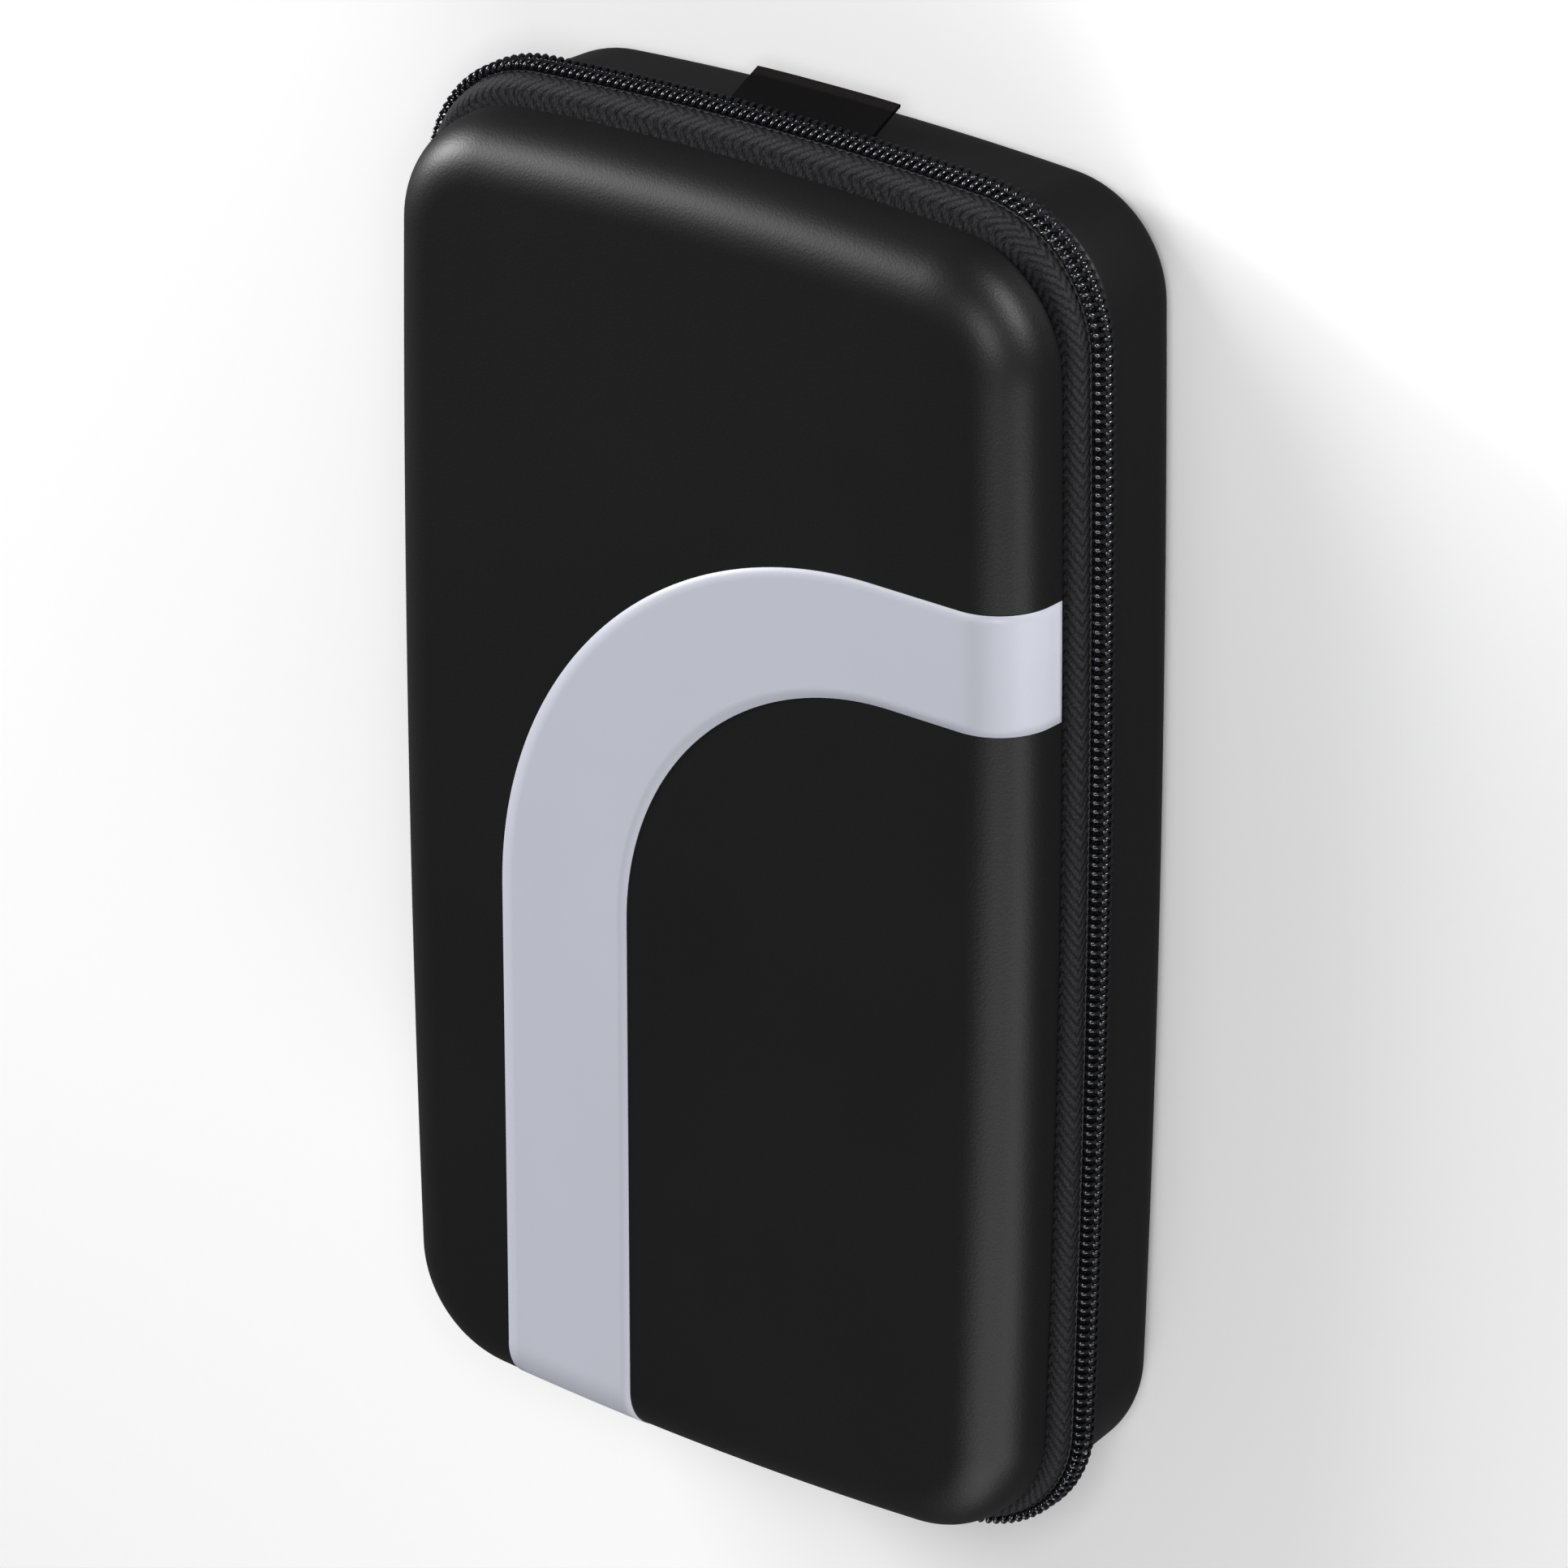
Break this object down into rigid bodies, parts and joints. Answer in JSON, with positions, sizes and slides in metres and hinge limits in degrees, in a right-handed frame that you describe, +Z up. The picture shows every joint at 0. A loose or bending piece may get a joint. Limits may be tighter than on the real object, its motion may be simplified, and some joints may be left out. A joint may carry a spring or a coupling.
{
  "type": "game console case",
  "caption": "Hard-shell zip case for a handheld game console: moulded rear shell and lid, coil zip round three sides, cloth hinge and folded label loop.",
  "frame": {"origin": "middle of the flat rear face, on which the case lies", "axes": "+X from the cloth hinge to the zip's long side, +Y along the case to the end with the label, +Z up from the rear face to the lid"},
  "size_m": [0.1086, 0.1859, 0.0372],
  "materials": {
    "shell_skin": "satin soft-touch skin over moulded foam",
    "stripe_film": "satin pressed-on film",
    "zip_tape": "herringbone woven",
    "zip_coil": "drawn nylon coil",
    "binding": "plain woven",
    "hinge_cloth": "plain woven",
    "label_satin": "satin woven",
    "zip_metal": "black painted die casting",
    "pocket_mesh": "knitted mesh",
    "elastic": "ribbed elastic"
  },
  "bodies": {
    "base": {"rear_shell": "shell_skin", "rear_zip_tape": "zip_tape", "rear_zip_coil": "zip_coil", "rear_edge_binding": "binding", "label_loop": "label_satin"},
    "lid": {"front_shell": "shell_skin", "front_stripe": "stripe_film", "front_zip_tape": "zip_tape", "front_zip_coil": "zip_coil", "front_edge_binding": "binding", "mesh_pocket": "pocket_mesh", "pocket_hem": "elastic"},
    "fold": {"hinge_strip": "hinge_cloth", "zip_start_stop": "zip_metal", "rear_top_stop": "zip_metal", "front_top_stop": "zip_metal"},
    "slider": {"zip_slider": "zip_metal"},
    "pull": {"pull_tab": "zip_metal"}
  },
  "joints": [
    {"name": "lid_open", "type": "hinge", "parent": "base", "child": "lid", "pos_m": [-0.0518, 0, 0.022], "axis": [0, -1, 0], "range_deg": [0, 180], "deforming": ["hinge_strip", "front_zip_tape", "front_zip_coil", "rear_zip_tape", "rear_zip_coil"]},
    {"name": "fold_turn", "type": "hinge", "parent": "base", "child": "fold", "pos_m": [-0.0518, 0, 0.022], "axis": [0, -1, 0], "range_deg": [0, 90]},
    {"name": "slider_run", "type": "slide", "parent": "fold", "child": "slider", "axis": [0, -1, 0], "range_m": [0, 0.013], "deforming": ["front_zip_coil", "rear_zip_coil", "front_zip_tape", "rear_zip_tape"]},
    {"name": "pull_swing", "type": "hinge", "parent": "slider", "child": "pull", "pos_m": [-0.05445, -0.0541, 0.022], "axis": [0, 0, 1], "range_deg": [0, 180]}
  ],
  "couplings": [
    {"joint": "fold_turn", "follows": "lid_open", "ratio": 0.5}
  ]
}
